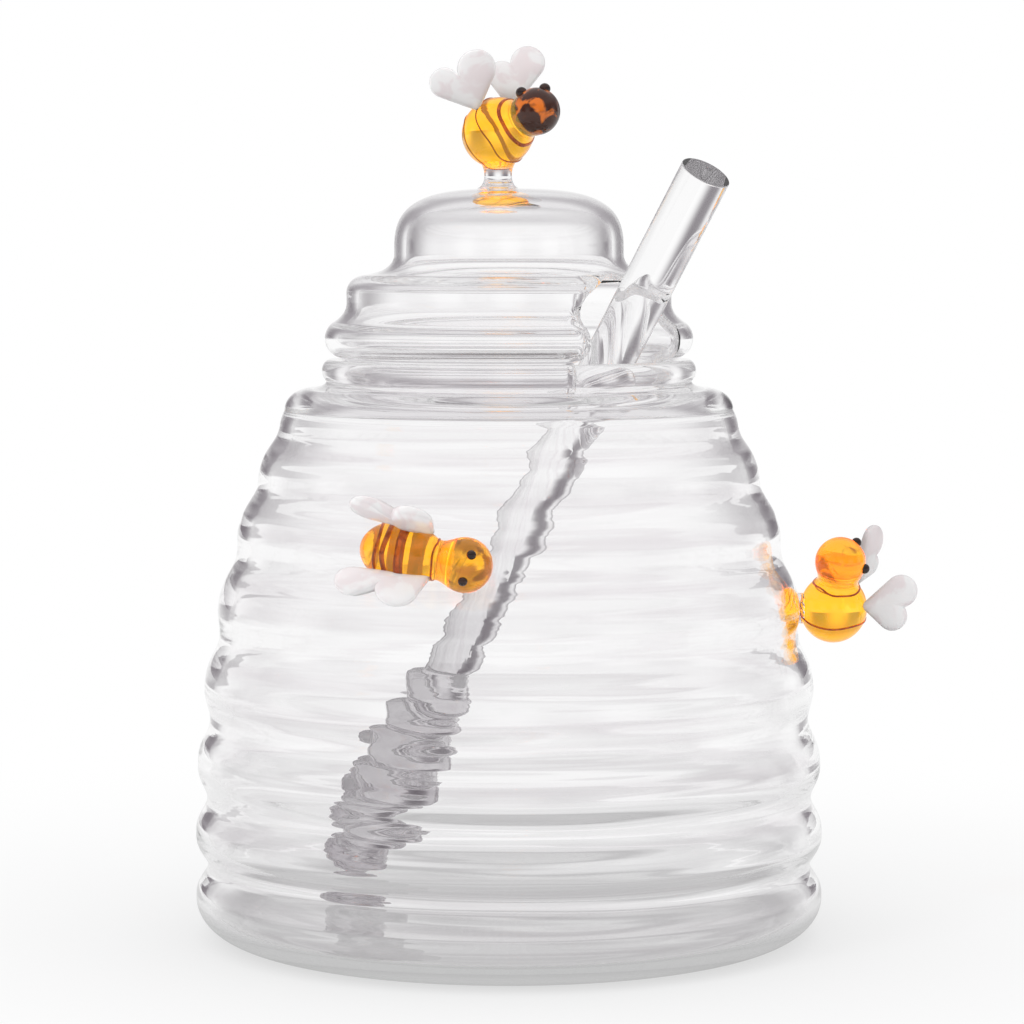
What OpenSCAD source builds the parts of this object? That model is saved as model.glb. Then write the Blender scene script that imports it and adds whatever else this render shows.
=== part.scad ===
// Beehive-shaped honey pot: a ribbed clear glass jar, a lift-off glass lid with a notch for the dipper,
// a glass dipper that leans in the jar, and three lampworked glass bees fused to the lid and the jar.
// Heights are above the table, the jar's axis is Z, and -Y is the front.

/* [Jar] */
// Height of the jar to the top of its rim
jar_height = 96; // [85:1:120]
// Outer radius over the widest ribs
jar_radius = 52.2; // [46:0.1:64]
// Height below which the jar is at its widest
widest_height = 13.4; // [10:0.1:22]
// Outer radius over the topmost rib, at the shoulder
shoulder_radius = 37.2; // [36:0.1:42]
// How late the side curves in towards the shoulder
side_power = 2.4; // [1.6:0.05:2.8]
// Thickness of the jar's wall
jar_wall = 2; // [1.6:0.1:2.6]
// Thickness of the jar's floor
floor_thickness = 3; // [2.6:0.1:4]
// Width of the rounded corner under the jar
corner_width = 9; // [7:0.5:11]
// Height of the rounded corner under the jar
corner_height = 6.7; // [5.5:0.1:8]

/* [Ribs] */
// Number of ribs round the jar
rib_count = 8; // [6:1:9]
// Height of the lowest rib's crest
first_rib_height = 7; // [6.8:0.1:9]
// Depth of the lowest valley between the ribs
rib_depth = 2.1; // [0.6:0.1:2.4]
// Depth of the highest valley between the ribs
top_rib_depth = 0.5; // [0.4:0.1:2]
// How much higher the middle ribs lie than at even spacing
rib_lift = 2.8; // [0:0.1:3]
// How much closer the ribs crowd at the foot and the shoulder
rib_crowding = 2.7; // [0:0.1:3]

/* [Neck] */
// Height from the shoulder rib's crest to the top of the rim
neck_height = 8.4; // [8:0.1:11]
// Diameter of the mouth
mouth_bore = 54.8; // [50:0.1:58]
// Thickness of the neck's wall under the rim
neck_wall = 2.8; // [2.4:0.1:3]
// How far the rim's bead stands out from the mouth
rim_width = 3.6; // [3.2:0.1:4.4]
// Height of the rim's bead
rim_height = 3.8; // [3.4:0.1:4.4]
// Rounding of the rim's outer edge
rim_bulge = 1.4; // [1.2:0.1:1.8]
// Rounding of the rim's inner edge
rim_round = 1.2; // [0.8:0.1:1.4]

/* [Lid] */
// Thickness of the lid's wall
lid_wall = 1.9; // [1.5:0.1:2.2]
// Radial clearance between the lid's skirt and the mouth
skirt_clearance = 0.5; // [0.3:0.05:1]
// Depth of the skirt below the rim
skirt_depth = 7.8; // [5:0.1:8]
// Gap between the lid's bead and the rim that it rests on
lid_gap = 0.3; // [0.25:0.05:0.5]
// How far the lid's bead stands out from its skirt
bead_reach = 3.6; // [3.4:0.1:4]
// Height of the lid's bead
bead_height = 6.3; // [6:0.1:7.5]
// How far the lid's bead stands over its skirt's outer face before it curves
bead_base_step = 0.7; // [0.5:0.1:0.9]
// Outer radius of the tier above the bead
tier_radius = 26.9; // [26:0.1:27]
// Height of the tier above the lid's seat
tier_height = 13.7; // [13:0.1:16]
// Outer radius of the dome on the tier
dome_radius = 19; // [17:0.1:20]
// Width of the rounding round the top of the tier
tier_round_width = 3.4; // [2.6:0.1:4]
// Height of the rounding round the top of the tier
tier_round_height = 2.9; // [2.4:0.1:3.4]
// Height of the dome above the tier
dome_height = 14.2; // [12:0.1:18]
// Height over the tier at which the crease under the dome ends
crease_height = 3.4; // [2.6:0.1:4]
// Squareness of the dome, 2 for an ellipse
dome_squareness = 3.1; // [2:0.1:3.4]

/* [Notch] */
// Width of the notch in the lid
notch_width = 20; // [18:0.5:22]
// Clearance over the dipper at the top of the notch
notch_clearance = 0.5; // [0.4:0.1:1]
// How far the notch reaches in from the tier's outer face
notch_reach = 4.8; // [4.4:0.1:5.6]

/* [Dipper] */
// Direction in which the dipper leans, from the front to the right
dipper_turn = 45; // [0:1:90]
// Diameter of the dipper's rod
rod_diameter = 8.2; // [7:0.1:9]
// Bevel round the rod's cut end
rod_bevel = 0.4; // [0.2:0.1:0.6]
// Length of the whole dipper
dipper_length = 147; // [135:1:165]
// Length of the ridged head
head_length = 44; // [38:1:48]
// Diameter over the ridges at the middle of the head
head_diameter = 16; // [14:0.5:18]
// Diameter over the ridges at the head's ends
head_end_diameter = 11; // [10:0.5:12]
// Number of ridges on the head
ridge_count = 7; // [5:1:9]
// Distance of the dipper's foot from the jar's axis
foot_distance = 40.3; // [34:0.1:41]
// Gap between the dipper and the glass that it leans and stands on
dipper_gap = 0.3; // [0.25:0.05:0.5]

/* [Bees] */
// Diameter of the lid bee's abdomen
lid_bee_girth = 11.5; // [10:0.1:12.5]
// Diameter of the front bee's abdomen
front_bee_girth = 9.8; // [9:0.1:11]
// Diameter of the side bee's abdomen
side_bee_girth = 11.2; // [10:0.1:12]
// Height of the stem under the lid bee
stem_height = 3.8; // [3:0.1:5]
// Diameter of the stem at its foot
stem_foot = 6.3; // [5.5:0.1:7]
// Diameter of the stem at its waist
stem_waist = 4.6; // [4:0.1:5.4]
// Height of the front bee's middle
front_bee_height = 67.8; // [60:0.1:70]
// Place of the front bee round the jar, from the front to the right
front_bee_turn = -19; // [-30:1:-10]
// Height of the side bee's middle
side_bee_height = 54.5; // [48:0.1:60]
// Place of the side bee round the jar, from the front to the right
side_bee_turn = 90; // [80:1:100]
// Diameter of the clear glass foot that holds a bee to the jar
pad_diameter = 5.1; // [4:0.1:6]
// Thickness of the glass foot where the bee is nearest to the jar
pad_height = 0.1; // [0.05:0.05:0.6]
// Thickness of a wing
wing_thickness = 2.2; // [1.8:0.1:2.6]
// Thickness of the dark threads of glass in a bee
band_thickness = 0.9; // [0.6:0.1:1.2]

/* [Hidden] */
round_steps = 96;
fine_steps = 480;
// How far the bees' feet reach into the jar's curved side and round the bees before they are cut to both
pad_root = 1.8;

// Curves in an upright half section, as points [radius, height]
function ellipse_arc(centre, width, height, from, to, steps) =
  [for (i = [0:steps]) let (a = from + (to - from) * i / steps)
    [centre.x + width * cos(a), centre.y + height * sin(a)]];
function bend(start, corner, end, steps) =
  [for (i = [0:steps]) let (t = i / steps)
    (1 - t) * (1 - t) * start + 2 * t * (1 - t) * corner + t * t * end];
function squared(v, power) = sign(v) * pow(abs(v), 2 / power);
function squared_arc(centre, width, height, power, from, to, steps) =
  [for (i = [0:steps]) let (a = from + (to - from) * i / steps)
    [centre.x + width * squared(cos(a), power), centre.y + height * squared(sin(a), power)]];
function unit(v) = v / norm(v);
function distinct(points) =
  [for (i = [0:len(points) - 1]) if (i == 0 || norm(points[i] - points[i - 1]) > 0.01) points[i]];
// The inner face of a blown wall: each point of the outer outline moved inwards, square to the wall
function inner_face(outline, wall) = let (points = distinct(outline), last = len(points) - 1)
  [for (i = [0:last]) let (way = unit(points[min(last, i + 1)] - points[max(0, i - 1)]))
    points[i] + wall * [-way.y, way.x]];
function backwards(points) = [for (i = [len(points) - 1:-1:0]) points[i]];

// Jar: the side is a smooth curve with ribs on it, which follow each other at a slowly changing pitch
shoulder_height = jar_height - neck_height;
mouth_radius = mouth_bore / 2;
rib_gaps = rib_count - 1;
function rib_rise(k) = first_rib_height + (shoulder_height - first_rib_height) * k / rib_gaps
  + rib_lift * sin(180 * k / rib_gaps) - rib_crowding * sin(360 * k / rib_gaps);
function side_radius(z) = jar_radius - (jar_radius - shoulder_radius)
  * pow(max(0, z - widest_height) / (shoulder_height - widest_height), side_power);
function rib_wave(k) = (rib_depth + (top_rib_depth - rib_depth) * k / rib_gaps)
  * pow((1 - cos(360 * k)) / 2, 1.5);
rib_steps = 10;
side_outline = [for (i = [0:rib_gaps * rib_steps]) let (k = i / rib_steps)
  [side_radius(rib_rise(k)) - rib_wave(k), rib_rise(k)]];
foot_radius = side_outline[0].x;
corner_outline = ellipse_arc([foot_radius - corner_width, corner_height],
  corner_width, corner_height, -90, 0, 10);
neck_radius = mouth_radius + neck_wall;
neck_bend = 2.8;
shoulder_crown = 3.6;
shoulder_top = [neck_radius + neck_bend, shoulder_height + shoulder_crown];
shoulder_outline = ellipse_arc([shoulder_top.x, shoulder_height], shoulder_radius - shoulder_top.x,
  shoulder_top.y - shoulder_height, 0, 90, 9);
rim_centre = [mouth_radius + rim_width - rim_bulge, jar_height - rim_height / 2];
rim_outline = ellipse_arc(rim_centre, rim_bulge, rim_height / 2, -60, 90, 8);
neck_outline = bend(shoulder_top, [neck_radius, shoulder_top.y + 0.4], rim_outline[0], 6);
lip_centre = [mouth_radius + rim_round, jar_height - rim_round];
lip_outline = ellipse_arc(lip_centre, rim_round, rim_round, 90, 180, 5);
wall_face = inner_face(concat(corner_outline, side_outline), jar_wall);
// The throat is where the straight mouth bends out under the shoulder
throat_rise = 1.6;
throat_height = shoulder_height + throat_rise;
throat_bend = 2.5;
inner_outline = [for (p = wall_face)
  if (p.y > floor_thickness + 0.05 && p.y < throat_height - throat_bend) p];
inner_top = inner_outline[len(inner_outline) - 1];
throat_outline = concat(
  bend([mouth_radius, throat_height + 2], [mouth_radius, throat_height],
    [mouth_radius + throat_bend, throat_height], 5),
  bend([mouth_radius + throat_bend, throat_height], [inner_top.x, throat_height], inner_top, 5));
floor_edge = [for (i = [0:len(corner_outline) - 1]) if (wall_face[i].y <= floor_thickness + 0.05)
  wall_face[i].x];
function surface_radius(z) = lookup(z, [for (p = side_outline) [p.y, p.x]]);
// Distance from the axis at which a ball of the given radius, at height z, nearly touches the side
function ball_seat(ball, z) = pad_height
  + max([for (a = [-90:5:90]) surface_radius(z + ball * sin(a)) + ball * cos(a)]);

// Dipper: it stands on the floor behind the axis and leans on the inner edge of the rim
rod_radius = rod_diameter / 2;
function foot_height(tilt) = floor_thickness + dipper_gap + rod_radius * sin(tilt);
function lean(height) = let (reach = lip_centre - [-foot_distance, height])
  atan2(reach.x, reach.y) - asin((rod_radius + dipper_gap + rim_round) / norm(reach));
function settled(tilt, rounds) = rounds == 0 ? tilt : settled(lean(foot_height(tilt)), rounds - 1);
dipper_tilt = settled(35, 6);
foot_rise = foot_height(dipper_tilt);
// Height of the rod's upper edge where it crosses a given radius, and the radius of that edge at a height
function rod_top(radius) = foot_rise + (radius + foot_distance) / tan(dipper_tilt)
  + rod_radius / sin(dipper_tilt);
function rod_inside(height) = (height - foot_rise) * tan(dipper_tilt) - foot_distance
  - rod_radius / cos(dipper_tilt);

// Lid
lid_seat = jar_height + lid_gap;
skirt_radius = mouth_radius - skirt_clearance;
bead_base = skirt_radius + bead_base_step;
bead_outline = ellipse_arc([bead_base, lid_seat + bead_height / 2], bead_reach - bead_base_step,
  bead_height / 2, -90, 60, 12);
bead_end = bead_outline[len(bead_outline) - 1];
tier_top = lid_seat + tier_height;
tier_start = [tier_radius, lid_seat + bead_height + 2.6];
tier_outline = concat(
  bend(bead_end, [tier_radius, bead_end.y + 1.4], tier_start, 6),
  ellipse_arc([tier_radius - tier_round_width, tier_top - tier_round_height],
    tier_round_width, tier_round_height, 0, 80, 7));
tier_end = tier_outline[len(tier_outline) - 1];
dome_foot = tier_top + crease_height;
dome_top = tier_top + dome_height;
dome_outline = concat(
  bend(tier_end, [dome_radius, tier_top + 0.6], [dome_radius, dome_foot], 7),
  squared_arc([0, dome_foot], dome_radius, dome_top - dome_foot, dome_squareness, 5, 88, 16));
skirt_bottom = lid_seat - skirt_depth;
lid_face = inner_face(concat([[skirt_radius, lid_seat - 1.5], [skirt_radius, lid_seat - 0.3]],
  bead_outline, tier_outline, dome_outline), lid_wall);
notch_top = rod_top(tier_radius) + notch_clearance;
notch_depth = min(tier_radius - notch_reach, rod_inside(tier_top) - notch_clearance);

// Bees: 0 on the lid, 1 on the front of the jar, 2 on its side. Offsets are from the middle of the
// abdomen, in millimetres to the right, to the back and up.
LID = 0;
FRONT = 1;
SIDE = 2;
function round_jar(turn, radius, z) = [radius * sin(turn), -radius * cos(turn), z];
bee_girth = [lid_bee_girth, front_bee_girth, side_bee_girth];
bee_length = [12.4, 13.4, 11.6];
bee_place = [
  [-1.8, 0, dome_top + stem_height + lid_bee_girth / 2 - 0.4],
  round_jar(front_bee_turn, ball_seat(front_bee_girth / 2, front_bee_height), front_bee_height),
  round_jar(side_bee_turn, ball_seat(side_bee_girth / 2, side_bee_height), side_bee_height)
];
head_size = [7.8, 8.6, 8.4];
head_offset = [[6.3, -5, 3.3], [9.6, -2.1, -1.6], [0.8, -3.5, 8.0]];
// Each wing is a heart: its root, its two lobes and the lobes' radii
left_wing = [
  [[2.2, 2.4, 3.6], [4.9, 4.6, 11.6], [0.6, 4.2, 9.6], 2.9, 2.4],
  [[5.0, -3.0, 3.4], [1.6, -5.0, 5.6], [-5.4, -5.4, 7.6], 3.3, 2.6],
  [[3.8, 2.2, 3.6], [6.9, 4.2, 11.2], [6.4, 4.4, 7.0], 2.4, 1.9]
];
right_wing = [
  [[-3.2, -2.2, 3.4], [-3.5, -3.6, 10.3], [-8.8, -4.0, 8.0], 3.2, 2.5],
  [[4.4, -3.0, -3.4], [-0.8, -5.4, -5.0], [-7.6, -5.0, -3.8], 3.3, 2.7],
  [[4.2, -2.4, 0.6], [10.9, -3.4, 3.2], [9.4, -3.6, -0.9], 2.7, 2.5]
];
// Threads of dark glass cased in the abdomen, as places along it from its middle
band_depth = band_thickness / 2 + 0.15;
band_places = [[-2.6, 1.4], [-4.2, -1.8, 0.4, 2.8], [-1.6, 2.2]];
// Small dark drops on the head, as directions from its middle, and their diameters
drops = [
  [[-2.6, -0.2, 3.2], [1.4, 0.2, 3.8]],
  [[1.1, -4.0, 2.0], [-0.3, -3.8, -2.2]],
  [[3.6, -1.2, -0.9], [2.7, 0.6, 3.2]]
];
drop_size = [1.9, 1.5, 1.7];

module half_turned(points, steps = round_steps) {
  rotate_extrude($fn = steps) polygon(distinct(points));
}
module bee_axes(bee) {
  forward = unit(head_offset[bee]);
  side = unit(cross([0, 0, 1], forward));
  back = cross(forward, side);
  at = bee_place[bee];
  multmatrix([
    [forward.x, side.x, back.x, at.x],
    [forward.y, side.y, back.y, at.y],
    [forward.z, side.z, back.z, at.z],
    [0, 0, 0, 1]
  ]) rotate([0, 90, 0]) children();
}
function abdomen_radius(bee, x) = bee_girth[bee] / 2 * sqrt(1 - pow(2 * x / bee_length[bee], 2));
// How much longer a way to the surface is outwards than square to the surface
function abdomen_slant(bee, x) = let (fall = (abdomen_radius(bee, x - 0.1) - abdomen_radius(bee, x + 0.1))
  / 0.2) sqrt(1 + fall * fall);
module abdomen_form(bee, steps = round_steps) {
  bee_axes(bee) half_turned(concat([[0, -bee_length[bee] / 2]],
    ellipse_arc([0, 0], bee_girth[bee] / 2, bee_length[bee] / 2, -80, 80, 16),
    [[0, bee_length[bee] / 2]]), steps);
}
module band_form(bee) {
  bee_axes(bee) for (x = band_places[bee])
    translate([0, 0, x]) rotate_extrude($fn = round_steps)
      translate([abdomen_radius(bee, x) - band_depth * abdomen_slant(bee, x), 0])
        circle(d = band_thickness, $fn = 24);
}
module head_form(bee) {
  translate(bee_place[bee] + head_offset[bee]) rotate([90, 0, 0])
    sphere(d = head_size[bee], $fn = round_steps);
}
module drop_form(bee) {
  for (way = drops[bee])
    translate(bee_place[bee] + head_offset[bee] + unit(way) * head_size[bee] / 2)
      sphere(d = drop_size[bee], $fn = 32);
}
module heart(lobe_a, lobe_b, radius_a, radius_b) {
  // Points where lines from the wing's root touch the two lobes
  function touch(centre, radius, side) = let (reach = norm(centre), turn = side * asin(radius / reach),
    along = sqrt(reach * reach - radius * radius), start = atan2(centre.y, centre.x))
    along * [cos(start + turn), sin(start + turn)];
  polygon([[0, 0], touch(lobe_a, radius_a, -1), lobe_a, lobe_b, touch(lobe_b, radius_b, 1)]);
  translate(lobe_a) circle(radius_a, $fn = 48);
  translate(lobe_b) circle(radius_b, $fn = 48);
}
module wing_form(bee, wing) {
  root = wing[0];
  to_a = wing[1] - root;
  to_b = wing[2] - root;
  along = unit(to_a);
  normal = unit(cross(along, to_b));
  across = cross(normal, along);
  at = bee_place[bee] + root;
  multmatrix([
    [along.x, across.x, normal.x, at.x],
    [along.y, across.y, normal.y, at.y],
    [along.z, across.z, normal.z, at.z],
    [0, 0, 0, 1]
  ]) linear_extrude(wing_thickness, center = true)
    heart([norm(to_a), 0], [to_b * along, to_b * across], wing[3], wing[4]);
}
module along_dipper() {
  rotate([0, 0, dipper_turn - 90]) translate([-foot_distance, 0, foot_rise])
    rotate([0, dipper_tilt, 0]) children();
}
module jar_form(steps) {
  half_turned(concat([[0, 0]], corner_outline, side_outline, shoulder_outline, neck_outline,
    [[0, rim_outline[0].y]]), steps);
}

// Jar of clear glass, blown in a mould
module jar_body() {
  color("#e4eaec") half_turned(concat([[0, 0]], corner_outline, side_outline, shoulder_outline,
    neck_outline, rim_outline, lip_outline, throat_outline, backwards(inner_outline),
    [[max(floor_edge), floor_thickness], [0, floor_thickness]]));
}

// Lid of clear glass with a notch through skirt, bead and tier
module lid_dome() {
  color("#dfe7ea") difference() {
    half_turned(concat([[skirt_radius - lid_wall, skirt_bottom], [skirt_radius, skirt_bottom],
      [skirt_radius, lid_seat - 0.3]], bead_outline, tier_outline, dome_outline, [[0, dome_top]],
      [[0, dome_top - lid_wall]], backwards(lid_face)));
    rotate([0, 0, dipper_turn - 90]) translate([notch_depth, 0, 0]) rotate([90, 0, 90])
      linear_extrude(skirt_radius) {
        translate([0, notch_top - notch_width / 2]) circle(d = notch_width, $fn = round_steps);
        translate([-notch_width / 2, skirt_bottom - 1])
          square([notch_width, notch_top - notch_width / 2 - skirt_bottom + 1]);
      }
  }
}

// Stem of clear glass that carries the lid's bee, which is also the knob
module lid_bee_stem() {
  color("#dfe7ea") difference() {
    translate([bee_place[LID].x, bee_place[LID].y, dome_top - 1.2])
      half_turned(concat([[0, 0]], bend([stem_foot / 2, 0], [stem_waist / 2, 1.4],
        [stem_waist / 2, stem_height], 6), [[stem_waist / 2, stem_height + 2.6],
        [0, stem_height + 2.6]]));
    abdomen_form(LID);
    half_turned(concat([[0, tier_top]], [[dome_radius, tier_top]], dome_outline, [[0, dome_top]]));
  }
}

// Dipper of clear glass: a solid rod with a ridged head
module dipper_rod() {
  color("#d5dcdf") along_dipper() {
    translate([0, 0, head_length])
      cylinder(h = dipper_length - head_length - rod_bevel, r = rod_radius, $fn = round_steps);
    translate([0, 0, dipper_length - rod_bevel])
      cylinder(h = rod_bevel, r1 = rod_radius, r2 = rod_radius - rod_bevel, $fn = round_steps);
  }
}
module dipper_head() {
  ridge_steps = 10;
  end_radius = head_end_diameter / 2;
  function ridge(s) = max(rod_radius, end_radius + (head_diameter / 2 - end_radius) * sin(180 * s)
    - (end_radius - rod_radius + 0.6) * (1 + cos(360 * ridge_count * s)) / 2);
  color("#d5dcdf") along_dipper() half_turned(concat([[0, 0]],
    [for (i = [0:ridge_count * ridge_steps]) let (s = i / (ridge_count * ridge_steps))
      [ridge(s), s * head_length]],
    [[0, head_length]]));
}

// Bees: balls of amber glass with threads of dark glass, and wings of milk glass
module bee_foot(bee, turn) {
  color("#dfe7ea") difference() {
    translate([0, 0, bee_place[bee].z]) rotate([0, 0, turn - 90]) rotate([0, 90, 0])
      translate([0, 0, norm([bee_place[bee].x, bee_place[bee].y]) - bee_girth[bee] / 2 - pad_root])
        cylinder(h = 2 * pad_root, d = pad_diameter, $fn = fine_steps);
    jar_form(fine_steps);
    abdomen_form(bee, fine_steps);
  }
}
module bee_abdomen(bee) {
  color("#f2a81e") difference() {
    abdomen_form(bee);
    head_form(bee);
    band_form(bee);
  }
}
module bee_bands(bee) {
  color("#4a2414") difference() {
    band_form(bee);
    head_form(bee);
  }
}
module bee_head(bee, paint) {
  color(paint) difference() {
    head_form(bee);
    drop_form(bee);
  }
}
module bee_drops(bee) {
  color("#2a1512") drop_form(bee);
}
module bee_wing(bee, wing) {
  color("#e6dfe1") difference() {
    wing_form(bee, wing);
    abdomen_form(bee);
    head_form(bee);
    drop_form(bee);
  }
}

module front_bee_foot() { bee_foot(FRONT, front_bee_turn); }
module front_bee_abdomen() { bee_abdomen(FRONT); }
module front_bee_bands() { bee_bands(FRONT); }
module front_bee_head() { bee_head(FRONT, "#f2a81e"); }
module front_bee_eyes() { bee_drops(FRONT); }
module front_bee_wing_left() { bee_wing(FRONT, left_wing[FRONT]); }
module front_bee_wing_right() { bee_wing(FRONT, right_wing[FRONT]); }
module side_bee_foot() { bee_foot(SIDE, side_bee_turn); }
module side_bee_abdomen() { bee_abdomen(SIDE); }
module side_bee_bands() { bee_bands(SIDE); }
module side_bee_head() { bee_head(SIDE, "#e0901a"); }
module side_bee_eyes() { bee_drops(SIDE); }
module side_bee_wing_left() { bee_wing(SIDE, left_wing[SIDE]); }
module side_bee_wing_right() { bee_wing(SIDE, right_wing[SIDE]); }
module lid_bee_abdomen() { bee_abdomen(LID); }
module lid_bee_bands() { bee_bands(LID); }
module lid_bee_head() { bee_head(LID, "#5a2a16"); }
module lid_bee_antennae() { bee_drops(LID); }
module lid_bee_wing_left() { bee_wing(LID, left_wing[LID]); }
module lid_bee_wing_right() { bee_wing(LID, right_wing[LID]); }

jar_body();
front_bee_foot();
front_bee_abdomen();
front_bee_bands();
front_bee_head();
front_bee_eyes();
front_bee_wing_left();
front_bee_wing_right();
side_bee_foot();
side_bee_abdomen();
side_bee_bands();
side_bee_head();
side_bee_eyes();
side_bee_wing_left();
side_bee_wing_right();
lid_dome();
lid_bee_stem();
lid_bee_abdomen();
lid_bee_bands();
lid_bee_head();
lid_bee_antennae();
lid_bee_wing_left();
lid_bee_wing_right();
dipper_rod();
dipper_head();
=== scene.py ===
import math

import bmesh
import bpy
from mathutils import Matrix, Vector, noise
from mathutils.bvhtree import BVHTree


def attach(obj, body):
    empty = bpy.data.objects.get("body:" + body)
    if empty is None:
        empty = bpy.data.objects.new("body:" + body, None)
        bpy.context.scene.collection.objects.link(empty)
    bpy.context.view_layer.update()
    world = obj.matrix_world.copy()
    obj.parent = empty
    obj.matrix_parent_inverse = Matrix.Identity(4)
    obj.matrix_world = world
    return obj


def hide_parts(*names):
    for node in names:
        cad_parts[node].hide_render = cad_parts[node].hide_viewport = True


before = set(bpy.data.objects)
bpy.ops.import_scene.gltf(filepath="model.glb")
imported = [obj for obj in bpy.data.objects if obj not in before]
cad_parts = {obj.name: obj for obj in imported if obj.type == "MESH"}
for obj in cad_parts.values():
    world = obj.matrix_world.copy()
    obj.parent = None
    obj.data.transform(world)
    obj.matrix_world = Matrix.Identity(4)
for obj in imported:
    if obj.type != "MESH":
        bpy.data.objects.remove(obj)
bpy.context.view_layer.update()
scene = bpy.context.scene
MM = 0.001

# Camera: in front of the pot and a little above its shoulder, tipped down towards the jar, with a long
# lens, so that the pot fills the square picture with hardly any perspective.
camera_data = bpy.data.cameras.new("camera")
camera_data.lens = 127.2
camera_data.sensor_width = 36
camera_data.clip_start = 0.05
camera_data.clip_end = 20
camera = bpy.data.objects.new("camera", camera_data)
camera.location = (0.5 * MM, -600 * MM, 116.3 * MM)
camera.rotation_euler = (math.radians(90 - 4.36), 0, 0)
scene.collection.objects.link(camera)
scene.camera = camera


# Studio: a white tent with soft grey seams every 45 degrees, grey higher up and pale overhead, which clear
# glass mirrors and bends. Straight behind the pot all is white, and the pale floor keeps a faint shadow. A
# soft lamp stands at the front left and a weaker one at the front right, and the glass mirrors neither.
def add_node(tree, kind, inputs=None, **settings):
    made = tree.nodes.new(kind)
    for name, value in settings.items():
        setattr(made, name, value)
    for name, value in (inputs or {}).items():
        if isinstance(value, bpy.types.NodeSocket):
            tree.links.new(value, made.inputs[name])
        else:
            made.inputs[name].default_value = value
    return made


def math_node(tree, operation, *values):
    made = tree.nodes.new("ShaderNodeMath")
    made.operation = operation
    for socket, value in zip(made.inputs, values):
        if isinstance(value, bpy.types.NodeSocket):
            tree.links.new(value, socket)
        else:
            socket.default_value = value
    return made.outputs[0]


def ramp_between(tree, value, low, high, to_low, to_high):
    made = add_node(tree, "ShaderNodeMapRange", interpolation_type="SMOOTHSTEP")
    for socket, given in zip(made.inputs, (value, low, high, to_low, to_high)):
        if isinstance(given, bpy.types.NodeSocket):
            tree.links.new(given, socket)
        else:
            socket.default_value = given
    return made.outputs["Result"]


def mix_colours(tree, share, first, second, blend="MIX"):
    made = add_node(tree, "ShaderNodeMix", data_type="RGBA", blend_type=blend)
    for socket, given in zip((made.inputs["Factor"], made.inputs[6], made.inputs[7]), (share, first, second)):
        if isinstance(given, bpy.types.NodeSocket):
            tree.links.new(given, socket)
        else:
            socket.default_value = given
    return made.outputs[2]


def rays_that_see(tree):
    """Two masks: what the camera sees straight, and what is seen mirrored in glass or through glass."""
    path = add_node(tree, "ShaderNodeLightPath")
    glass = math_node(tree, "MAXIMUM", path.outputs["Is Glossy Ray"], path.outputs["Is Transmission Ray"])
    return path.outputs["Is Camera Ray"], glass


seam_grey = (0.22, 0.20, 0.22, 1)
upper_grey = (0.42, 0.40, 0.42, 1)
overhead_white = (0.80, 0.79, 0.80, 1)
tent_light = 0.78
world = bpy.data.worlds.new("tent")
world.use_nodes = True
scene.world = world
tree = world.node_tree
tree.nodes.clear()
way = add_node(tree, "ShaderNodeTexCoord")
parts = add_node(tree, "ShaderNodeSeparateXYZ", {"Vector": way.outputs["Generated"]})
turn = math_node(tree, "ARCTAN2", parts.outputs["Y"], parts.outputs["X"])
waves_round = math_node(tree, "COSINE", math_node(tree, "MULTIPLY", turn, 8))
seam_mask = math_node(tree, "POWER", ramp_between(tree, waves_round, -1, 1, 1, 0), 0.8)
upper_mask = ramp_between(tree, parts.outputs["Z"], 0.02, 0.42, 0, 1)
overhead_mask = ramp_between(tree, parts.outputs["Z"], 0.40, 0.66, 0, 1)
tent = mix_colours(tree, seam_mask, (1, 1, 1, 1), seam_grey)
tent = mix_colours(tree, upper_mask, tent, upper_grey)
tent = mix_colours(tree, overhead_mask, tent, overhead_white)
straight, in_glass = rays_that_see(tree)
shown = mix_colours(tree, in_glass, (tent_light, tent_light, tent_light, 1), tent)
shown = mix_colours(tree, straight, shown, (1, 1, 1, 1))
background = add_node(tree, "ShaderNodeBackground", {"Color": shown, "Strength": 1})
add_node(tree, "ShaderNodeOutputWorld", {"Surface": background.outputs[0]})

# Distances on the floor are in metres from the pot's axis. Glass shows the floor with painted shade: greyer
# near the pot, and darkest in a painted shadow ring under the foot's rounded corner.
floor_radius = 4
shadow_start = 0.05
shadow_end = 0.22
shadow_white = 0.62
shadow_ring_inner_edge = (0.038, 0.048)
shadow_ring_outer_edge = (0.052, 0.064)
painted_ring_shadow = -0.18
painted_shade_start = 0.04
painted_shade_end = 0.35
near_white = 0.80
far_white = 0.97
floor_mesh = bmesh.new()
bmesh.ops.create_circle(floor_mesh, cap_ends=True, segments=96, radius=floor_radius)
floor_data = bpy.data.meshes.new("floor")
floor_mesh.to_mesh(floor_data)
floor_mesh.free()
floor = bpy.data.objects.new("floor", floor_data)
scene.collection.objects.link(floor)
paint = bpy.data.materials.new("floor_paint")
paint.use_nodes = True
tree = paint.node_tree
tree.nodes.clear()
place = add_node(tree, "ShaderNodeTexCoord")
distance = add_node(tree, "ShaderNodeVectorMath", {0: place.outputs["Object"]}, operation="LENGTH")
whiteness = ramp_between(tree, distance.outputs["Value"], shadow_start, shadow_end, shadow_white, 1)
# Painted shadow: a ring on the floor under the foot's rounded corner.
painted_corner_shadow = math_node(
    tree,
    "MULTIPLY",
    ramp_between(tree, distance.outputs["Value"], *shadow_ring_inner_edge, 0, 1),
    ramp_between(tree, distance.outputs["Value"], *shadow_ring_outer_edge, 1, 0),
)
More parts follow.
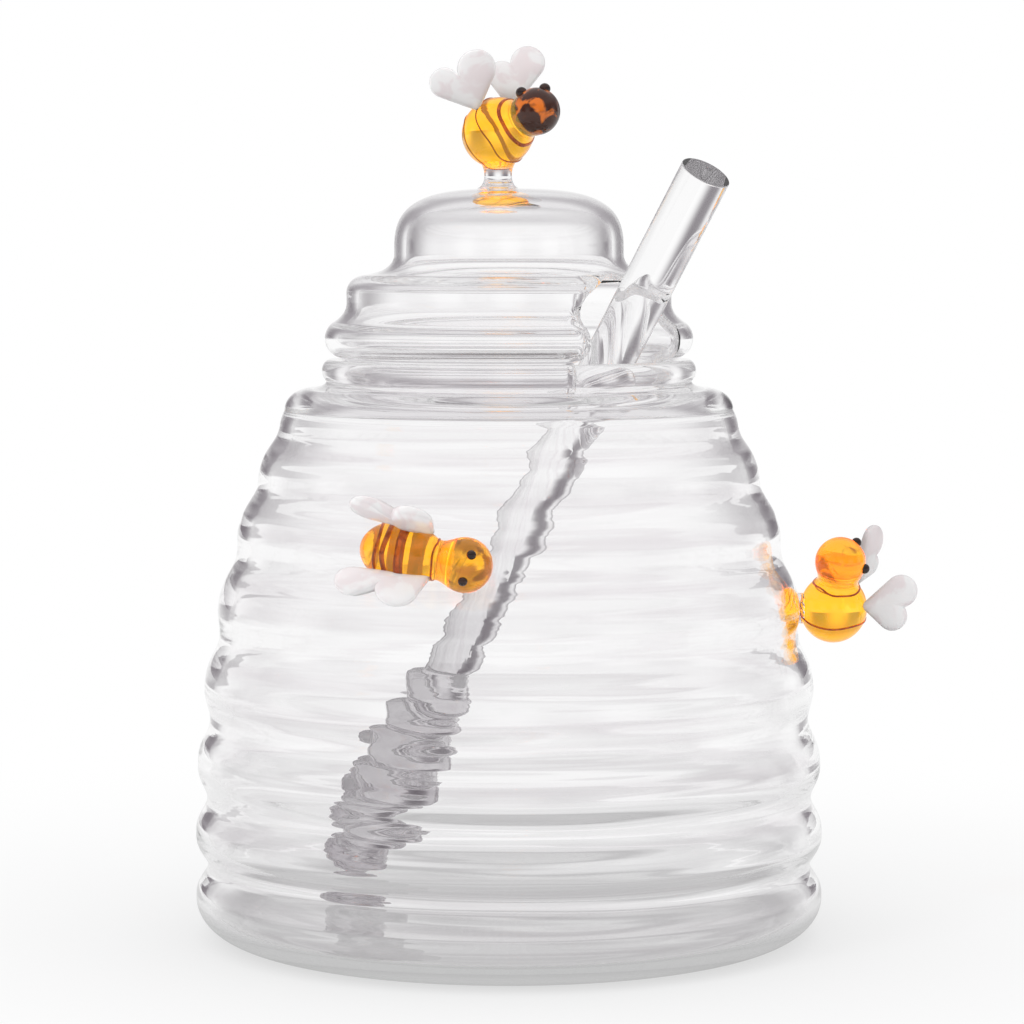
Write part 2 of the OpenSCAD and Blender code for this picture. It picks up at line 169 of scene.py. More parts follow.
# Painted shade that glass shows on the floor, greyer towards the pot and darker in the ring.
painted_shade_in_glass = math_node(
    tree,
    "MULTIPLY_ADD",
    painted_corner_shadow,
    painted_ring_shadow,
    ramp_between(tree, distance.outputs["Value"], painted_shade_start, painted_shade_end, near_white, far_white),
)
straight, in_glass = rays_that_see(tree)
seen = math_node(tree, "MAXIMUM", straight, in_glass)
pale = add_node(tree, "ShaderNodeBsdfDiffuse", {"Color": (0.93, 0.93, 0.935, 1)})
# The floor's glow: plain white for the camera, and the painted shade for glass.
painted_floor_light = mix_colours(tree, in_glass, (1, 1, 1, 1), painted_shade_in_glass)
white = add_node(tree, "ShaderNodeEmission", {"Color": painted_floor_light, "Strength": 1})
mixed = add_node(tree, "ShaderNodeMixShader", {0: math_node(tree, "MULTIPLY", seen, whiteness)})
tree.links.new(pale.outputs[0], mixed.inputs[1])
tree.links.new(white.outputs[0], mixed.inputs[2])
add_node(tree, "ShaderNodeOutputMaterial", {"Surface": mixed.outputs[0]})
floor_data.materials.append(paint)

lamp_aim = Vector((0, 0, 0.07))
for name, spot, size, power in (
    ("key_lamp", (-0.75, -0.85, 1.05), 0.34, 6.5),
    ("fill_lamp", (1.0, -0.5, 0.7), 0.6, 1.6),
):
    lamp_data = bpy.data.lights.new(name, "AREA")
    lamp_data.shape = "SQUARE"
    lamp_data.size = size
    lamp_data.energy = power
    lamp = bpy.data.objects.new(name, lamp_data)
    lamp.visible_glossy = False
    lamp.visible_transmission = False
    lamp.location = spot
    lamp.rotation_euler = (lamp_aim - Vector(spot)).to_track_quat("-Z", "Y").to_euler()
    scene.collection.objects.link(lamp)

scene.view_settings.view_transform = "Standard"
glass_bounces = 64
scene.cycles.max_bounces = glass_bounces
scene.cycles.transmission_bounces = glass_bounces
scene.cycles.glossy_bounces = glass_bounces
scene.cycles.transparent_max_bounces = 32
scene.cycles.caustics_refractive = False
scene.cycles.caustics_reflective = False

# Jar: clear glass, blown into a ribbed mould, with a thick neck and a fire-polished rim. Its foot is
# round and heavy, and the inner face follows the ribs less sharply than the outer one.
jar_height = 96
jar_radius = 52.2
widest_height = 13.4
shoulder_radius = 37.2
side_power = 2.4
jar_wall = 2
floor_thickness = 3
corner_width = 9
corner_height = 6.7
rib_gaps = 7
first_rib_height = 7
rib_depth = 2.1
top_rib_depth = 0.5
rib_lift = 2.8
rib_crowding = 2.7
neck_height = 8.4
shoulder_height = jar_height - neck_height
shoulder_crown = 3.6
mouth_radius = 27.4
neck_wall = 2.8
neck_radius = mouth_radius + neck_wall
neck_flare = 2.8
throat_rise = 1.6
throat_bend = 2.5
inner_corner_rise = 1.6
inner_corner_reach = 10
rim_width = 3.6
rim_height = 3.8
rim_bulge = 1.4
rim_round = 1.2


def ellipse_arc(centre, width, height, start, end, steps):
    angles = [math.radians(start + (end - start) * i / steps) for i in range(steps + 1)]
    return [(centre[0] + width * math.cos(a), centre[1] + height * math.sin(a)) for a in angles]


def bend(start, corner, end, steps):
    ways = [i / steps for i in range(steps + 1)]
    return [
        tuple((1 - t) ** 2 * a + 2 * t * (1 - t) * b + t * t * c for a, b, c in zip(start, corner, end))
        for t in ways
    ]


def distinct(points, least=0.02):
    kept = [points[0]]
    for point in points[1:]:
        if math.dist(point, kept[-1]) > least:
            kept.append(point)
    return kept


def inner_face(outline, wall):
    """The outline moved inwards by the wall, square to it."""
    points = distinct(outline)
    moved = []
    for i, (radius, height) in enumerate(points):
        before, after = points[max(0, i - 1)], points[min(len(points) - 1, i + 1)]
        step = Vector(after) - Vector(before)
        step.normalize()
        moved.append((radius - wall * step.y, height + wall * step.x))
    return moved


def rib_rise(k):
    even = first_rib_height + (shoulder_height - first_rib_height) * k / rib_gaps
    lift = rib_lift * math.sin(math.pi * k / rib_gaps)
    return even + lift - rib_crowding * math.sin(2 * math.pi * k / rib_gaps)


def side_point(k):
    height = rib_rise(k)
    share = max(0, height - widest_height) / (shoulder_height - widest_height)
    radius = jar_radius - (jar_radius - shoulder_radius) * share**side_power
    depth = rib_depth + (top_rib_depth - rib_depth) * k / rib_gaps
    return radius - depth * ((1 - math.cos(2 * math.pi * k)) / 2) ** 1.5, height


side_steps = 22
side_outline = [side_point(i / side_steps) for i in range(rib_gaps * side_steps + 1)]
foot_radius = side_outline[0][0]
corner_centre = (foot_radius - corner_width, corner_height)
corner_outline = ellipse_arc(corner_centre, corner_width, corner_height, -90, 0, 24)
shoulder_top = (neck_radius + neck_flare, shoulder_height + shoulder_crown)
shoulder_outline = ellipse_arc(
    (shoulder_top[0], shoulder_height),
    shoulder_radius - shoulder_top[0],
    shoulder_top[1] - shoulder_height,
    0,
    90,
    16,
)
rim_centre = (mouth_radius + rim_width - rim_bulge, jar_height - rim_height / 2)
rim_outline = ellipse_arc(rim_centre, rim_bulge, rim_height / 2, -60, 90, 18)
neck_outline = bend(shoulder_top, (neck_radius, shoulder_top[1] + 0.4), rim_outline[0], 14)
lip_centre = (mouth_radius + rim_round, jar_height - rim_round)
lip_outline = ellipse_arc(lip_centre, rim_round, rim_round, 90, 180, 10)
throat_height = shoulder_height + throat_rise
wall_face = inner_face(corner_outline + side_outline, jar_wall)
inner_outline = [
    p for p in wall_face if floor_thickness + inner_corner_rise < p[1] < throat_height - throat_bend
]
inner_top = inner_outline[-1]
throat_edge = (mouth_radius + throat_bend, throat_height)
throat_outline = bend((mouth_radius, throat_height + 2), (mouth_radius, throat_height), throat_edge, 8)
throat_outline += bend(throat_edge, (inner_top[0], throat_height), inner_top, 14)
inner_foot = inner_outline[0]
floor_edge = (foot_radius - inner_corner_reach, floor_thickness)
inner_corner = bend(inner_foot, (inner_foot[0] - 1.2, floor_thickness), floor_edge, 12)
jar_outline = distinct(
    [(0, 0)]
    + corner_outline
    + side_outline
    + shoulder_outline
    + neck_outline
    + rim_outline
    + lip_outline
    + throat_outline
    + inner_outline[::-1]
    + inner_corner
    + [(0, floor_thickness)]
)


def spun_mesh(outline, *arcs, start=0):
    """A closed mesh in metres, turned round Z from an outline in millimetres that starts and ends on the
    axis. The arcs are pairs of degrees and steps, which together make a full turn."""
    mesh = bmesh.new()
    corners = [mesh.verts.new((radius * MM, 0, height * MM)) for radius, height in outline]
    ring = corners + [mesh.edges.new(pair) for pair in zip(corners, corners[1:])]
    bmesh.ops.rotate(mesh, verts=corners, cent=(0, 0, 0), matrix=Matrix.Rotation(math.radians(start), 3, "Z"))
    for degrees, steps in arcs:
        turned = bmesh.ops.spin(
            mesh, geom=ring, axis=(0, 0, 1), cent=(0, 0, 0), angle=math.radians(degrees), steps=steps
        )
        ring = turned["geom_last"]
    bmesh.ops.remove_doubles(mesh, verts=mesh.verts, dist=1e-6)
    bmesh.ops.recalc_face_normals(mesh, faces=mesh.faces)
    return mesh


def finished(name, mesh, material, body, slot, *nodes):
    """The piece of that mesh on its body, in the place of the nodes that it stands for."""
    for face in mesh.faces:
        face.smooth = True
    data = bpy.data.meshes.new(name)
    mesh.to_mesh(data)
    mesh.free()
    data.materials.append(material)
    piece = bpy.data.objects.new(name, data)
    scene.collection.objects.link(piece)
    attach(piece, body)
    if nodes:
        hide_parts(*nodes)
    return piece


def make_waves_group():
    """Blown glass is never quite even: long, low waves in its surface, as a normal."""
    group = bpy.data.node_groups.new("blown_waves", "ShaderNodeTree")
    for name, kind, value in (
        ("Across", "NodeSocketFloat", 40.0),
        ("Upwards", "NodeSocketFloat", 200.0),
        ("Depth", "NodeSocketFloat", 0.0002),
    ):
        socket = group.interface.new_socket(name, in_out="INPUT", socket_type=kind)
        socket.default_value = value
    group.interface.new_socket("Normal", in_out="OUTPUT", socket_type="NodeSocketVector")
    given = group.nodes.new("NodeGroupInput")
    place = add_node(group, "ShaderNodeTexCoord")
    across = given.outputs["Across"]
    stretch = add_node(group, "ShaderNodeCombineXYZ", {"X": across, "Y": across})
    group.links.new(given.outputs["Upwards"], stretch.inputs["Z"])
    scaled = add_node(group, "ShaderNodeVectorMath", {0: place.outputs["Object"], 1: stretch.outputs[0]})
    scaled.operation = "MULTIPLY"
    waves = add_node(group, "ShaderNodeTexNoise", {"Vector": scaled.outputs[0], "Scale": 1, "Detail": 2})
    bump = add_node(group, "ShaderNodeBump", {"Height": waves.outputs[0], "Strength": 1})
    group.links.new(given.outputs["Depth"], bump.inputs["Distance"])
    out = group.nodes.new("NodeGroupOutput")
    group.links.new(bump.outputs[0], out.inputs["Normal"])
    return group


waves_group = make_waves_group()
lamp_light_kept = 0.92
glass_bending = 1.47


def clear_glass(name, across, upwards, depth, reflection_streak=(0.97, 0.965, 0.97, 1)):
    """Clear glass with low waves and faint grey streaks painted into its colour as painted reflections, which
    lets lamps through a little dimmed.
    """
    material = bpy.data.materials.new(name)
    material.use_nodes = True
    tree = material.node_tree
    tree.nodes.clear()
    waves = add_node(tree, "ShaderNodeGroup")
    waves.node_tree = waves_group
    waves.inputs["Across"].default_value = across
    waves.inputs["Upwards"].default_value = upwards
    waves.inputs["Depth"].default_value = depth
    place = add_node(tree, "ShaderNodeTexCoord")
    stretch = add_node(
        tree,
        "ShaderNodeVectorMath",
        {0: place.outputs["Object"], 1: (across, across, upwards)},
        operation="MULTIPLY",
    )
    cloud = add_node(tree, "ShaderNodeTexNoise", {"Vector": stretch.outputs[0], "Scale": 1.3, "Detail": 3})
    # Painted reflection: faint grey streaks in the glass's colour.
    painted_reflection_streaks = ramp_between(tree, cloud.outputs[0], 0.45, 0.68, 0, 1)
    colour = mix_colours(tree, painted_reflection_streaks, (0.996, 0.994, 0.996, 1), reflection_streak)
    glass = add_node(
        tree,
        "ShaderNodeBsdfPrincipled",
        {
            "Base Color": colour,
            "Roughness": 0.0,
            "IOR": glass_bending,
            "Transmission Weight": 1.0,
            "Normal": waves.outputs["Normal"],
        },
    )
    lets_through = add_node(tree, "ShaderNodeBsdfTransparent", {"Color": (*[lamp_light_kept] * 3, 1)})
    path = add_node(tree, "ShaderNodeLightPath")
    mixed = add_node(tree, "ShaderNodeMixShader", {0: path.outputs["Is Shadow Ray"]})
    tree.links.new(glass.outputs[0], mixed.inputs[1])
    tree.links.new(lets_through.outputs[0], mixed.inputs[2])
    add_node(tree, "ShaderNodeOutputMaterial", {"Surface": mixed.outputs[0]})
    return material


def paint_shade_beyond(material, way, distance, shade, fade=0.1):
    """Paints shade into the glass: tints it with the shade where it lies further along a way than a distance,
    and fades the painted shade in over the fade. Both are in millimetres."""
    tree = material.node_tree
    glass = next(node for node in tree.nodes if node.type == "BSDF_PRINCIPLED")
    place = add_node(tree, "ShaderNodeTexCoord")
    along = add_node(
        tree, "ShaderNodeVectorMath", {0: place.outputs["Object"], 1: way}, operation="DOT_PRODUCT"
    )
    mask = ramp_between(tree, along.outputs["Value"], distance * MM, (distance + fade) * MM, 0, 1)
    clear = glass.inputs["Base Color"].links[0].from_socket
    tree.links.new(mix_colours(tree, mask, clear, shade), glass.inputs["Base Color"])


def waver(mesh, inner_radius_at, amount):
    """Moves the inner face in and out by a slow noise, as the wall's thickness changes in blown glass."""
    for vertex in mesh.verts:
        radius = vertex.co.xy.length / MM
        height = vertex.co.z / MM
        if radius < 5 or not inner_radius_at(radius, height):
            continue
        turn = math.atan2(vertex.co.y, vertex.co.x)
        sample = Vector((math.cos(turn) * 0.8, math.sin(turn) * 0.8, height / 3.4))
        shift = amount * noise.noise(sample) + 0.5 * amount * noise.noise(sample * 2.3)
        vertex.co.xy *= 1 + shift / radius


jar_mesh = spun_mesh(jar_outline, (360, 192))


def in_jar_wall(radius, height):
    if not floor_thickness + 6 < height < throat_height - 6:
        return False
    outer = min(side_outline, key=lambda p: abs(p[1] - height))[0]
    return radius < outer - 0.6 * jar_wall


wall_waver = 0.17
waver(jar_mesh, in_jar_wall, wall_waver)
jar_glass = clear_glass("jar_glass", 6, 300, 0.00009, reflection_streak=(0.93, 0.915, 0.925, 1))
finished("jar", jar_mesh, jar_glass, "jar", "clear_glass", "jar_body")

# Bees on the jar: each is a ball of amber glass with threads of dark glass trailed round it, a smaller
# ball for its head with two dark drops, and two hearts of milk glass pressed flat for wings, all worked
# together in a flame and fused to the jar by a small clear foot.
pad_height = 0.1
wing_thickness = 2.2


def surface_radius(height):
    low = max((p for p in side_outline if p[1] <= height), key=lambda p: p[1])
    high = min((p for p in side_outline if p[1] > height), key=lambda p: p[1])
    share = (height - low[1]) / (high[1] - low[1])
    return low[0] + (high[0] - low[0]) * share


def ball_seat(ball, height):
    angles = [math.radians(a) for a in range(-90, 91, 5)]
    return pad_height + max(surface_radius(height + ball * math.sin(a)) + ball * math.cos(a) for a in angles)


def round_jar(turn, radius, height):
    return Vector((radius * math.sin(math.radians(turn)), -radius * math.cos(math.radians(turn)), height))


def heart_reach(way, centre, root_to, lobes):
    """How far a heart's edge lies from its centre in a direction. Its point is at 0, 0."""
    reach = 0
    for lobe, radius in lobes:
        offset = lobe - centre
        along = offset.dot(way)
        rest = radius**2 - (offset.length_squared - along**2)
        if rest > 0:
            reach = max(reach, along + math.sqrt(rest))
    for touch in root_to:
        edge = Vector((-touch.y, touch.x))
        facing = way.dot(edge)
        if abs(facing) > 1e-9:
            far = -centre.dot(edge) / facing
            spot = centre + way * far
            if far > 0 and 0 <= spot.dot(touch) <= touch.length_squared:
                reach = max(reach, far)
    return reach


def touch_point(lobe, radius, side):
    """Where the straight edge from a heart's point touches a lobe."""
    reach = lobe.length
    turn = math.atan2(lobe.y, lobe.x) + side * math.asin(radius / reach)
    return math.sqrt(reach**2 - radius**2) * Vector((math.cos(turn), math.sin(turn)))


def wing_mesh(place, root, lobe_a, lobe_b, radius_a, radius_b):
    """A heart pressed flat, from its point and its two lobes' centres, seen from the bee's middle, and the
    lobes' radii."""
    root, lobe_a, lobe_b = Vector(root), Vector(lobe_a), Vector(lobe_b)
    along = (lobe_a - root).normalized()
    normal = along.cross(lobe_b - root).normalized()
    across = normal.cross(along)
    flat_a = Vector(((lobe_a - root).length, 0))
    flat_b = Vector(((lobe_b - root).dot(along), (lobe_b - root).dot(across)))
    edges = [touch_point(flat_a, radius_a, -1), touch_point(flat_b, radius_b, 1)]
    centre = (flat_a + flat_b) * 0.42
    mesh = bmesh.new()
    bmesh.ops.create_uvsphere(mesh, u_segments=72, v_segments=24, radius=1)
    for vertex in mesh.verts:
        share = min(1, vertex.co.xy.length)
        way = Vector((1, 0)) if share < 1e-6 else vertex.co.xy.normalized()
        reach = heart_reach(way, centre, edges, [(flat_a, radius_a), (flat_b, radius_b)])
        flat = centre + way * reach * share
        puff = wing_thickness / 2 * math.copysign(abs(vertex.co.z) ** 0.7, vertex.co.z)
        vertex.co = (place + root + along * flat.x + across * flat.y + normal * puff) * MM
    bmesh.ops.recalc_face_normals(mesh, faces=mesh.faces)
    return mesh


def glass_colours(
    name,
    scale,
    pale,
    deep,
    roughness,
    see_through,
    edge=0.5,
    painted_rim_shade=None,
    absorb=None,
    density=0,
    milky=0,
    painted_glow=0,
):
    """Coloured glass whose colour drifts from pale to deep, with a plain depth of colour inside if given. It
    may also have a painted darker rim where it turns away from view, and a painted glow.
    """
    material = bpy.data.materials.new(name)
    material.use_nodes = True
    tree = material.node_tree
    tree.nodes.clear()
    place = add_node(tree, "ShaderNodeTexCoord")
    drift = add_node(
        tree,
        "ShaderNodeTexNoise",
        {"Vector": place.outputs["Object"], "Scale": scale, "Detail": 3, "Distortion": 0.8},
    )
    share = ramp_between(tree, drift.outputs[0], edge - 0.06, edge + 0.06, 0, 1)
    colour = mix_colours(tree, share, pale, deep)
    # Painted shade: the colour turns to the darker rim colour where the surface faces away from the view.
    if painted_rim_shade:
        facing = add_node(tree, "ShaderNodeLayerWeight", {"Blend": 0.5}).outputs["Facing"]
        colour = mix_colours(tree, ramp_between(tree, facing, 0.45, 1, 0, 1), colour, painted_rim_shade)
    bump = add_node(tree, "ShaderNodeBump", {"Height": drift.outputs[0], "Strength": 0.3, "Distance": 0.0002})
    # Painted glow: the pale colour is given out as light, though the glass is no lamp.
    glass = add_node(
        tree,
        "ShaderNodeBsdfPrincipled",
        {
            "Base Color": colour,
            "Roughness": roughness,
            "IOR": glass_bending,
            "Transmission Weight": see_through,
            "Emission Color": pale,
            "Emission Strength": painted_glow,
            "Subsurface Weight": milky,
            "Subsurface Radius": (1, 0.9, 0.9),
            "Subsurface Scale": 0.0015,
            "Normal": bump.outputs[0],
        },
    )
    out = add_node(tree, "ShaderNodeOutputMaterial")
    if see_through > 0.5:
        lets_through = add_node(tree, "ShaderNodeBsdfTransparent", {"Color": deep})
        path = add_node(tree, "ShaderNodeLightPath")
        mixed = add_node(tree, "ShaderNodeMixShader", {0: path.outputs["Is Shadow Ray"]})
        tree.links.new(glass.outputs[0], mixed.inputs[1])
        tree.links.new(lets_through.outputs[0], mixed.inputs[2])
        tree.links.new(mixed.outputs[0], out.inputs["Surface"])
    else:
        tree.links.new(glass.outputs[0], out.inputs["Surface"])
    if absorb:
        depth = add_node(tree, "ShaderNodeVolumeAbsorption", {"Color": absorb, "Density": density})
        tree.links.new(depth.outputs[0], out.inputs["Volume"])
    return material


neck_reach = 2.4
neck_fill = 0.6


def blended(radii, half_length, head_radius, distance, place):
    """The radius, at a place along a bee's axis, of an oval and a ball with the neck between them filled."""
    low, high = 0, 9
    for _ in range(30):
        radius = (low + high) / 2
        oval = (math.hypot(radius / radii, place / half_length) - 1) * radii
        ball = math.hypot(radius, place - distance) - head_radius
        near = max(0, neck_reach - abs(oval - ball)) / neck_reach
        if min(oval, ball) - near**2 * neck_fill < 0:
            low = radius
        else:
            high = radius
    return low


outline_steps = 90
half_steps = 45
inside_head = 0.3


def body_mesh(place, head_offset, girth, length, head_size):
    """A bee's abdomen, which flows into its head."""
    way = Vector(head_offset)
    distance = way.length
    half_length = length / 2
    head_radius = head_size / 2
    outline = [(0, -half_length)]
    for i in range(1, outline_steps):
        spot = -half_length * math.cos(math.pi * i / 120)
        spot += (distance - half_length * 0.5) * max(0, i - half_steps) / half_steps * 0.55
        if spot > distance - 0.25 * head_radius:
            break
        outline.append((blended(girth / 2, half_length, head_radius, distance, spot), spot))
    end = outline[-1][1] + inside_head
    within = math.sqrt(max(0, head_radius**2 - (end - distance) ** 2)) - inside_head
    outline += [(within, end), (0, end)]
    mesh = spun_mesh(distinct(outline), (360, 96))
    turned = Matrix.Translation(place * MM) @ way.to_track_quat("Z", "Y").to_matrix().to_4x4()
    bmesh.ops.transform(mesh, matrix=turned, verts=mesh.verts)
    return mesh


thread_lift = 0.02
thread_depth = 0.13
ring_steps = 12


def thread_mesh(place, head_offset, girth, length, head_size, threads):
    """Threads laid round a bee's abdomen: where along its axis, how wide and how far each one wanders."""
    mesh = bmesh.new()

    def under(along):
        return blended(girth / 2, length / 2, head_size / 2, Vector(head_offset).length, along) + thread_lift

    for count, (spot, width, wander) in enumerate(threads):
        ring = []
        for angle in [2 * math.pi * i / ring_steps for i in range(ring_steps)]:
            along = spot + width / 2 * math.sin(angle)
            ring.append(mesh.verts.new(((under(along) + thread_depth * math.cos(angle)) * MM, 0, along * MM)))
        edges = [mesh.edges.new(pair) for pair in zip(ring, ring[1:] + ring[:1])]
        bmesh.ops.spin(
            mesh, geom=ring + edges, axis=(0, 0, 1), cent=(0, 0, 0), angle=2 * math.pi, steps=96, use_merge=True
        )
        for vertex in {v for face in mesh.faces for v in face.verts if not v.tag}:
            vertex.tag = True
            turn = math.atan2(vertex.co.y, vertex.co.x)
            shift = wander * noise.noise(Vector((math.cos(turn), math.sin(turn), 3.7 * count + girth)))
            was = vertex.co.z / MM
            vertex.co.xy *= under(was + shift) / under(was)
            vertex.co.z += shift * MM
    bmesh.ops.recalc_face_normals(mesh, faces=mesh.faces)
    facing = Vector(head_offset).to_track_quat("Z", "Y").to_matrix().to_4x4()
    turned = Matrix.Translation(place * MM) @ facing
    bmesh.ops.transform(mesh, matrix=turned, verts=mesh.verts)
    return mesh


def bee_body(bee, place, body, head_offset, girth, length, head_size, threads):
    abdomen = body_mesh(place, head_offset, girth, length, head_size)
    finished(f"{bee}_body", abdomen, amber, body, "amber_glass", f"{bee}_abdomen")
    laid = thread_mesh(place, head_offset, girth, length, head_size, threads)
    finished(f"{bee}_threads", laid, thread_glass, body, "dark_glass", f"{bee}_bands")


amber = glass_colours(
    "amber_glass",
    160,
    (1, 0.64, 0.05, 1),
    (1, 0.46, 0.02, 1),
    roughness=0.0,
    see_through=1,
    painted_rim_shade=(0.80, 0.20, 0.01, 1),
    absorb=(1, 0.8, 0.2, 1),
    density=60,
    painted_glow=0.2,
)
streaked_amber = glass_colours(
    "streaked_amber",
    230,
    (1, 0.50, 0.03, 1),
    (0.13, 0.025, 0.008, 1),
    roughness=0.0,
    see_through=1,
    edge=0.57,
    painted_rim_shade=(0.55, 0.10, 0.01, 1),
    painted_glow=0.12,
)
thread_glass = glass_colours("thread_glass", 420, (0.45, 0.13, 0.03, 1), (0.26, 0.05, 0.012, 1), 0.05, 0.85)
drop_glass = glass_colours("drop_glass", 700, (0.035, 0.014, 0.01, 1), (0.015, 0.006, 0.005, 1), 0.04, 0)
milk_glass = glass_colours(
    "milk_glass", 190, (0.93, 0.91, 0.912, 1), (0.87, 0.80, 0.81, 1), 0.12, 0.15, milky=0.35
)
foot_glass = clear_glass("foot_glass", 300, 300, 0.00002)


def dress(node, material):
    """Gives a CAD node its finish."""
    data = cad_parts[node].data
    data.materials.clear()
    data.materials.append(material)


def wings(bee, place, body, left, right):
    for side, shape in (("left", left), ("right", right)):
        node = f"{bee}_wing_{side}"
        finished(f"{node}_heart", wing_mesh(place, *shape), milk_glass, body, "milk_glass", node)


front_girth = 9.8
front_height = 67.8
side_girth = 11.2
side_height = 54.5
front_place = round_jar(-19, ball_seat(front_girth / 2, front_height), front_height)
side_place = round_jar(90, ball_seat(side_girth / 2, side_height), side_height)
wings(
    "front_bee",
    front_place,
    "jar",
    ((5.0, -3.0, 3.4), (1.6, -5.0, 5.6), (-5.4, -5.4, 7.6), 3.3, 2.6),
    ((4.4, -3.0, -3.4), (-0.8, -5.4, -5.0), (-7.6, -5.0, -3.8), 3.3, 2.7),
)
wings(
    "side_bee",
    side_place,
    "jar",
    ((3.8, 2.2, 3.6), (6.9, 4.2, 11.2), (6.4, 4.4, 7.0), 2.4, 1.9),
    ((4.2, -2.4, 0.6), (10.9, -3.4, 3.2), (9.4, -3.6, -0.9), 2.7, 2.5),
)
bee_body(
    "front_bee",
    front_place,
    "jar",
    (9.6, -2.1, -1.6),
    front_girth,
    13.4,
    8.6,
    ((-3.4, 0.6, 0.7), (-1.6, 0.9, 0.8), (0.5, 1.5, 0.5), (5.4, 0.3, 0.3)),
)
bee_body(
    "side_bee",
    side_place,
    "jar",
    (0.8, -3.5, 8.0),
    side_girth,
    11.6,
    8.4,
    ((-0.9, 0.4, 0.8), (4.4, 0.25, 0.5)),
)
for bee in ("front_bee", "side_bee"):
    dress(f"{bee}_foot", foot_glass)
    dress(f"{bee}_head", streaked_amber)
    dress(f"{bee}_eyes", drop_glass)

# Lid: clear glass, blown, with a skirt that drops into the jar's mouth, a thick bead that rests on the
# rim, a tier and a dome. An arched notch is cut through skirt, bead and tier for the dipper.
lid_seat = jar_height + 0.3
skirt_radius = mouth_radius - 0.5
lid_wall = 1.9
bead_height = 6.3
bead_reach = 3.6
bead_inset = 0.7
bead_base = skirt_radius + bead_inset
tier_radius = 26.9
tier_top = lid_seat + 13.7
tier_round_width = 3.4
tier_round_height = 2.9
dome_radius = 19
dome_foot = tier_top + 3.4
dome_top = tier_top + 14.2
dome_squareness = 3.1
skirt_bottom = lid_seat - 7.8
notch_width = 20
notch_depth = tier_radius - 4.8
dipper_turn = 45


def squared_arc(centre, width, height, power, start, end, steps):
    points = []
    for i in range(steps + 1):
        a = math.radians(start + (end - start) * i / steps)
        across = width * math.cos(a) ** (2 / power)
        upwards = height * math.sin(a) ** (2 / power)
        points.append((centre[0] + across, centre[1] + upwards))
    return points


bead_centre = (bead_base, lid_seat + bead_height / 2)
bead_outline = ellipse_arc(bead_centre, bead_reach - bead_inset, bead_height / 2, -90, 60, 26)
bead_end = bead_outline[-1]
tier_start = (tier_radius, lid_seat + bead_height + 2.6)
tier_outline = bend(bead_end, (tier_radius, bead_end[1] + 1.4), tier_start, 14)
tier_outline += ellipse_arc(
    (tier_radius - tier_round_width, tier_top - tier_round_height),
    tier_round_width,
    tier_round_height,
    0,
    80,
    16,
)
dome_outline = bend(tier_outline[-1], (dome_radius, tier_top + 0.6), (dome_radius, dome_foot), 16)
dome_outline += squared_arc((0, dome_foot), dome_radius, dome_top - dome_foot, dome_squareness, 4, 88, 40)
lid_face = inner_face(
    [(skirt_radius, lid_seat - 1.5), (skirt_radius, lid_seat - 0.3)]
    + bead_outline
    + tier_outline
    + dome_outline,
    lid_wall,
)
skirt_middle = skirt_radius - lid_wall / 2
lid_outline = distinct(
    [(0, dome_top - lid_wall)]
    + lid_face[::-1]
    + ellipse_arc((skirt_middle, skirt_bottom + 0.5), lid_wall / 2, 0.5, 180, 360, 12)
    + [(skirt_radius, lid_seat - 0.3)]
    + bead_outline
    + tier_outline
    + dome_outline
    + [(0, dome_top)]
)


def along_dipper_way():
    return Matrix.Rotation(math.radians(dipper_turn - 90), 4, "Z")


def notch_cutter(notch_top):
    """A long arched prism that points the way the dipper leans."""
    half = notch_width / 2
    arch = ellipse_arc((0, notch_top - half), half, half, 0, 180, 40)
    outline = [(half, skirt_bottom - 1)] + arch + [(-half, skirt_bottom - 1)]
    mesh = bmesh.new()
    corners = [mesh.verts.new((notch_depth * MM, y * MM, z * MM)) for y, z in distinct(outline)]
    face = mesh.faces.new(corners)
    pushed = bmesh.ops.extrude_face_region(mesh, geom=[face])
    moved = [v for v in pushed["geom"] if isinstance(v, bmesh.types.BMVert)]
    bmesh.ops.translate(mesh, verts=moved, vec=(skirt_radius * MM, 0, 0))
    bmesh.ops.transform(mesh, matrix=along_dipper_way(), verts=mesh.verts)
    bmesh.ops.recalc_face_normals(mesh, faces=mesh.faces)
    data = bpy.data.meshes.new("notch_cutter")
    mesh.to_mesh(data)
    mesh.free()
    cutter = bpy.data.objects.new("notch_cutter", data)
    scene.collection.objects.link(cutter)
    return cutter


def away_from_notch(spot, notch_top):
    """How far a place lies outside the notch, and the way straight away from it, with the notch along X."""
    half = notch_width / 2
    aside = Vector((0, spot.y, spot.z - min(spot.z, notch_top - half)))
    beside = aside.length - half
    behind = notch_depth - spot.x
    if beside > 0 and behind > 0:
        away = aside.normalized() * beside + Vector((-behind, 0, 0))
        return away.length, away.normalized()
    if beside > behind:
        return max(0, beside), aside.normalized()
    return max(0, behind), Vector((-1, 0, 0))


melted_share = 0.94


def melt_notch_edge(piece, whole, notch_top):
    """Rounds the notch's edge as a flame does: both faces of the wall draw together along the cut."""
    mesh = bmesh.new()
    mesh.from_mesh(piece.data)
    back = along_dipper_way().inverted()
    for vertex in mesh.verts:
        distance, away = away_from_notch(back @ vertex.co / MM, notch_top)
        if distance >= lid_wall / 2:
            continue
        normal = whole.find_nearest(vertex.co)[1]
        squareness = 1 - away.dot(back.to_3x3() @ normal) ** 2
        nearness = 1 - distance / (lid_wall / 2)
        drop = melted_share * lid_wall / 2 * (1 - math.sqrt(1 - nearness**2)) * squareness**2
        vertex.co -= normal * drop * MM
    for face in mesh.faces:
        face.smooth = True
    mesh.to_mesh(piece.data)
    mesh.free()


